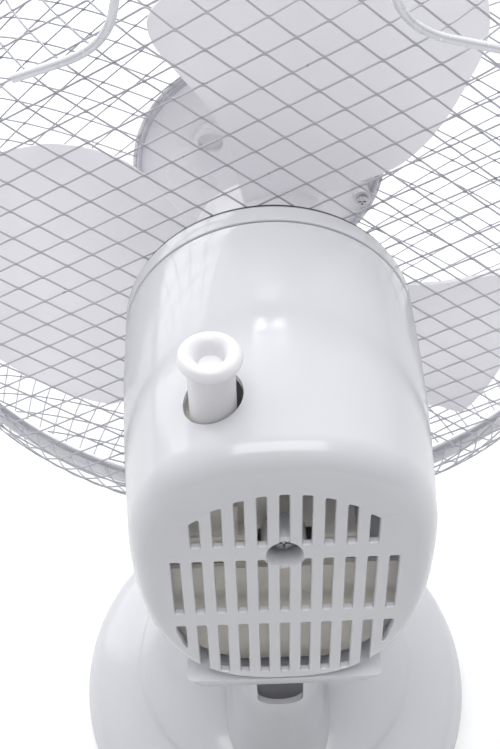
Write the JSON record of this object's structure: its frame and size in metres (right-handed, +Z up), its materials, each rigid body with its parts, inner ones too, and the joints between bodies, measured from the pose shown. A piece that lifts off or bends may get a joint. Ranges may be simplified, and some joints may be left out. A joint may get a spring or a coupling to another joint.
{
  "type": "desk fan",
  "caption": "Oscillating desk fan on a short pedestal: wire guards, paddle blades, motor cover with clutch knob, tilting neck, key panel in a domed base.",
  "frame": {"origin": "on the pan axis, on the underside of the base plate", "axes": "+Z up, -Y the way the fan blows, +X to the right of someone who faces its front"},
  "size_m": [0.3028, 0.2529, 0.4004],
  "materials": {
    "gloss_white": "glossy",
    "satin_white": "satin",
    "blade_grey": "semi-gloss",
    "wire_grey": "satin coating",
    "handle_white": "satin coating",
    "gearbox_beige": "matte",
    "nylon": "satin",
    "steel": "satin",
    "iron": "matte",
    "bronze": "satin",
    "copper": "varnished windings",
    "aluminium": "as cast",
    "black_plastic": "matte",
    "rubber": "matte"
  },
  "bodies": {
    "base": {"base_shell": "gloss_white", "base_plate": "satin_white", "ballast_plate": "iron", "rubber_foot_1": "rubber", "rubber_foot_2": "rubber", "rubber_foot_3": "rubber", "rubber_foot_4": "rubber", "base_screw_1": "steel", "base_screw_2": "steel", "base_screw_3": "steel", "base_screw_4": "steel", "column": "gloss_white", "column_screw_1": "steel", "column_screw_2": "steel", "cord_gland": "black_plastic", "key_frame": "satin_white", "switch_block": "black_plastic", "tilt_bolt": "steel", "tilt_nut": "steel"},
    "off_key": {"key_off": "satin_white"},
    "low_key": {"key_low": "satin_white"},
    "high_key": {"key_high": "satin_white"},
    "neck": {"tilt_bracket": "satin_white", "pan_bush": "nylon"},
    "head": {"motor_cover": "gloss_white", "cover_screw": "steel", "bottom_plate": "gloss_white", "front_bezel": "gloss_white", "front_bell": "aluminium", "rear_bell": "aluminium", "stator_core": "iron", "stator_coil_front": "copper", "stator_coil_rear": "copper", "front_bush": "bronze", "rear_bush": "bronze", "motor_bracket": "aluminium", "gearbox_housing": "gearbox_beige", "gearbox_cover": "gearbox_beige", "rear_guard": "wire_grey", "guard_nut": "satin_white", "rim_ring": "satin_white", "rim_screw": "steel", "front_guard": "wire_grey", "front_plate": "satin_white", "plate_screw_1": "steel", "plate_screw_2": "steel", "plate_screw_3": "steel", "carry_handle": "handle_white"},
    "rotor": {"rotor_shaft": "steel", "rotor_core": "steel", "fan_blade": "blade_grey", "spinner_cap": "satin_white"},
    "worm_wheel": {"worm_wheel": "nylon"},
    "crank": {"crank_gear": "nylon", "crank_disc": "nylon"},
    "link": {"link_rod": "steel"},
    "clutch": {"clutch_knob": "satin_white", "clutch_spindle": "steel"}
  },
  "joints": [
    {"name": "off_travel", "type": "slide", "parent": "base", "child": "off_key", "axis": [0, -0.3338, 0.9426], "range_m": [-0.003, 0], "stiffness_N_per_m": 150, "springref_m": 0.002},
    {"name": "low_travel", "type": "slide", "parent": "base", "child": "low_key", "axis": [0, -0.3338, 0.9426], "range_m": [-0.003, 0], "stiffness_N_per_m": 150, "springref_m": 0.002},
    {"name": "high_travel", "type": "slide", "parent": "base", "child": "high_key", "axis": [0, -0.3338, 0.9426], "range_m": [-0.003, 0], "stiffness_N_per_m": 150, "springref_m": 0.002},
    {"name": "tilt", "type": "hinge", "parent": "base", "child": "neck", "pos_m": [0, 0, 0.122], "axis": [-1, 0, 0], "range_deg": [-7, 18]},
    {"name": "pan", "type": "hinge", "parent": "neck", "child": "head", "pos_m": [0, 0, 0.145], "axis": [0, 0, 1], "range_deg": [-40, 40]},
    {"name": "blade_spin", "type": "hinge", "parent": "head", "child": "rotor", "pos_m": [0, -0.05, 0.208], "axis": [0, 1, 0], "continuous": true},
    {"name": "worm_wheel_turn", "type": "hinge", "parent": "head", "child": "worm_wheel", "pos_m": [0.02, 0.029, 0.208], "axis": [0, 0, 1], "continuous": true},
    {"name": "crank_turn", "type": "hinge", "parent": "head", "child": "crank", "pos_m": [0, 0.029, 0.19], "axis": [0, 0, 1], "continuous": true},
    {"name": "link_swing", "type": "hinge", "parent": "crank", "child": "link", "pos_m": [0.008, 0.029, 0.165], "axis": [0, 0, 1], "continuous": true},
    {"name": "clutch_pull", "type": "slide", "parent": "head", "child": "clutch", "axis": [0, 0, 1], "range_m": [-0.006, 0]}
  ],
  "couplings": [
    {"joint": "worm_wheel_turn", "follows": "blade_spin", "ratio": 0.029412},
    {"joint": "crank_turn", "follows": "blade_spin", "ratio": -0.0073529},
    {"joint": "link_swing", "follows": "blade_spin", "ratio": 0.0073529}
  ]
}
